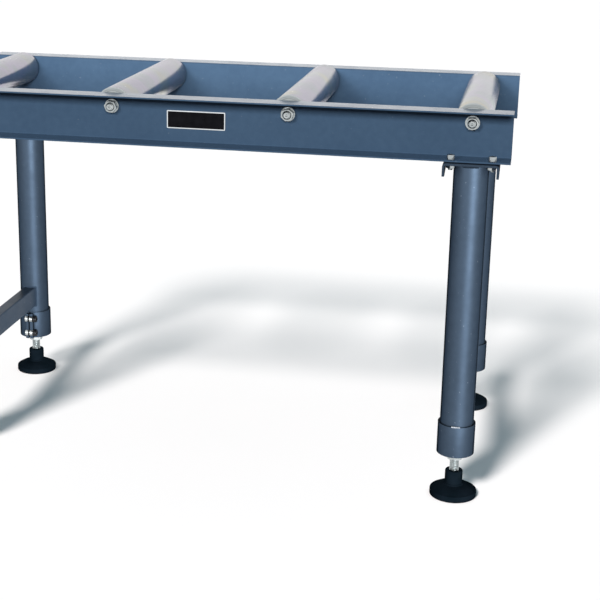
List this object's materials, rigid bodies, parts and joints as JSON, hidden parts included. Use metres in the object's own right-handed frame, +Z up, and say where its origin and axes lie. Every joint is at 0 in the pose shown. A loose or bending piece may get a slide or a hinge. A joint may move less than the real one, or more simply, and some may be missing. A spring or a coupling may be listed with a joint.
{
  "type": "roller stand",
  "caption": "Free-running steel rollers between two channel rails, on telescopic tubular legs with clamp collars and levelling feet, to carry long stock beside a saw.",
  "frame": {"origin": "on the floor under the middle of the table", "axes": "+X along the table to the right end, +Y from the front rail to the rear rail, +Z up"},
  "size_m": [1.03, 0.512, 0.6704],
  "materials": {
    "paint": "satin blue-grey paint",
    "roller_zinc": "zinc plated, satin",
    "bright_zinc": "bright zinc",
    "bearing_steel": "ground steel",
    "black_plastic": "moulded, satin"
  },
  "bodies": {
    "frame": {"axle_1": "bright_zinc", "axle_2": "bright_zinc", "axle_3": "bright_zinc", "axle_4": "bright_zinc", "axle_nut_1_front": "bright_zinc", "axle_nut_1_rear": "bright_zinc", "axle_nut_2_front": "bright_zinc", "axle_nut_2_rear": "bright_zinc", "axle_nut_3_front": "bright_zinc", "axle_nut_3_rear": "bright_zinc", "axle_nut_4_front": "bright_zinc", "axle_nut_4_rear": "bright_zinc", "brace_left": "paint", "brace_right": "paint", "bracket_bolt_front_left_1": "bright_zinc", "bracket_bolt_front_left_2": "bright_zinc", "bracket_bolt_front_right_1": "bright_zinc", "bracket_bolt_front_right_2": "bright_zinc", "bracket_bolt_rear_left_1": "bright_zinc", "bracket_bolt_rear_left_2": "bright_zinc", "bracket_bolt_rear_right_1": "bright_zinc", "bracket_bolt_rear_right_2": "bright_zinc", "bracket_front_left": "paint", "bracket_front_right": "paint", "bracket_rear_left": "paint", "bracket_rear_right": "paint", "collar_front_left": "paint", "collar_front_right": "paint", "collar_rear_left": "paint", "collar_rear_right": "paint", "front_rail": "paint", "leg_front_left": "paint", "leg_front_right": "paint", "leg_rear_left": "paint", "leg_rear_right": "paint", "rear_rail": "paint"},
    "roller_1": {"roller_1": "roller_zinc", "bearing_1_front": "bearing_steel", "bearing_1_rear": "bearing_steel"},
    "roller_2": {"roller_2": "roller_zinc", "bearing_2_front": "bearing_steel", "bearing_2_rear": "bearing_steel"},
    "roller_3": {"roller_3": "roller_zinc", "bearing_3_front": "bearing_steel", "bearing_3_rear": "bearing_steel"},
    "roller_4": {"roller_4": "roller_zinc", "bearing_4_front": "bearing_steel", "bearing_4_rear": "bearing_steel"},
    "lower_leg_front_left": {"inner_leg_front_left": "bright_zinc"},
    "foot_front_left": {"foot_pad_front_left": "black_plastic"},
    "spindle_front_left": {"spindle_front_left": "bright_zinc"},
    "lower_leg_front_right": {"inner_leg_front_right": "bright_zinc"},
    "foot_front_right": {"foot_pad_front_right": "black_plastic"},
    "spindle_front_right": {"spindle_front_right": "bright_zinc"},
    "lower_leg_rear_left": {"inner_leg_rear_left": "bright_zinc"},
    "foot_rear_left": {"foot_pad_rear_left": "black_plastic"},
    "spindle_rear_left": {"spindle_rear_left": "bright_zinc"},
    "lower_leg_rear_right": {"inner_leg_rear_right": "bright_zinc"},
    "foot_rear_right": {"foot_pad_rear_right": "black_plastic"},
    "spindle_rear_right": {"spindle_rear_right": "bright_zinc"}
  },
  "joints": [
    {"name": "roller_1_spin", "type": "hinge", "parent": "frame", "child": "roller_1", "pos_m": [-0.45, 0, 0.6404], "axis": [0, 1, 0], "continuous": true},
    {"name": "roller_2_spin", "type": "hinge", "parent": "frame", "child": "roller_2", "pos_m": [-0.15, 0, 0.6404], "axis": [0, 1, 0], "continuous": true},
    {"name": "roller_3_spin", "type": "hinge", "parent": "frame", "child": "roller_3", "pos_m": [0.15, 0, 0.6404], "axis": [0, 1, 0], "continuous": true},
    {"name": "roller_4_spin", "type": "hinge", "parent": "frame", "child": "roller_4", "pos_m": [0.45, 0, 0.6404], "axis": [0, 1, 0], "continuous": true},
    {"name": "leg_slide_front_left", "type": "slide", "parent": "frame", "child": "lower_leg_front_left", "axis": [0, 0, -1], "range_m": [0, 0.22]},
    {"name": "foot_lift_front_left", "type": "slide", "parent": "lower_leg_front_left", "child": "foot_front_left", "axis": [0, 0, -1], "range_m": [0, 0.03]},
    {"name": "spindle_turn_front_left", "type": "hinge", "parent": "foot_front_left", "child": "spindle_front_left", "pos_m": [-0.453, -0.216, 0.08], "axis": [0, 0, -1], "range_deg": [0, 5400]},
    {"name": "leg_slide_front_right", "type": "slide", "parent": "frame", "child": "lower_leg_front_right", "axis": [0, 0, -1], "range_m": [0, 0.22]},
    {"name": "foot_lift_front_right", "type": "slide", "parent": "lower_leg_front_right", "child": "foot_front_right", "axis": [0, 0, -1], "range_m": [0, 0.03]},
    {"name": "spindle_turn_front_right", "type": "hinge", "parent": "foot_front_right", "child": "spindle_front_right", "pos_m": [0.453, -0.216, 0.08], "axis": [0, 0, -1], "range_deg": [0, 5400]},
    {"name": "leg_slide_rear_left", "type": "slide", "parent": "frame", "child": "lower_leg_rear_left", "axis": [0, 0, -1], "range_m": [0, 0.22]},
    {"name": "foot_lift_rear_left", "type": "slide", "parent": "lower_leg_rear_left", "child": "foot_rear_left", "axis": [0, 0, -1], "range_m": [0, 0.03]},
    {"name": "spindle_turn_rear_left", "type": "hinge", "parent": "foot_rear_left", "child": "spindle_rear_left", "pos_m": [-0.453, 0.216, 0.08], "axis": [0, 0, -1], "range_deg": [0, 5400]},
    {"name": "leg_slide_rear_right", "type": "slide", "parent": "frame", "child": "lower_leg_rear_right", "axis": [0, 0, -1], "range_m": [0, 0.22]},
    {"name": "foot_lift_rear_right", "type": "slide", "parent": "lower_leg_rear_right", "child": "foot_rear_right", "axis": [0, 0, -1], "range_m": [0, 0.03]},
    {"name": "spindle_turn_rear_right", "type": "hinge", "parent": "foot_rear_right", "child": "spindle_rear_right", "pos_m": [0.453, 0.216, 0.08], "axis": [0, 0, -1], "range_deg": [0, 5400]}
  ],
  "couplings": [
    {"joint": "spindle_turn_front_left", "follows": "foot_lift_front_left", "rad_per_m": 3141.6},
    {"joint": "spindle_turn_front_right", "follows": "foot_lift_front_right", "rad_per_m": 3141.6},
    {"joint": "spindle_turn_rear_left", "follows": "foot_lift_rear_left", "rad_per_m": 3141.6},
    {"joint": "spindle_turn_rear_right", "follows": "foot_lift_rear_right", "rad_per_m": 3141.6}
  ]
}
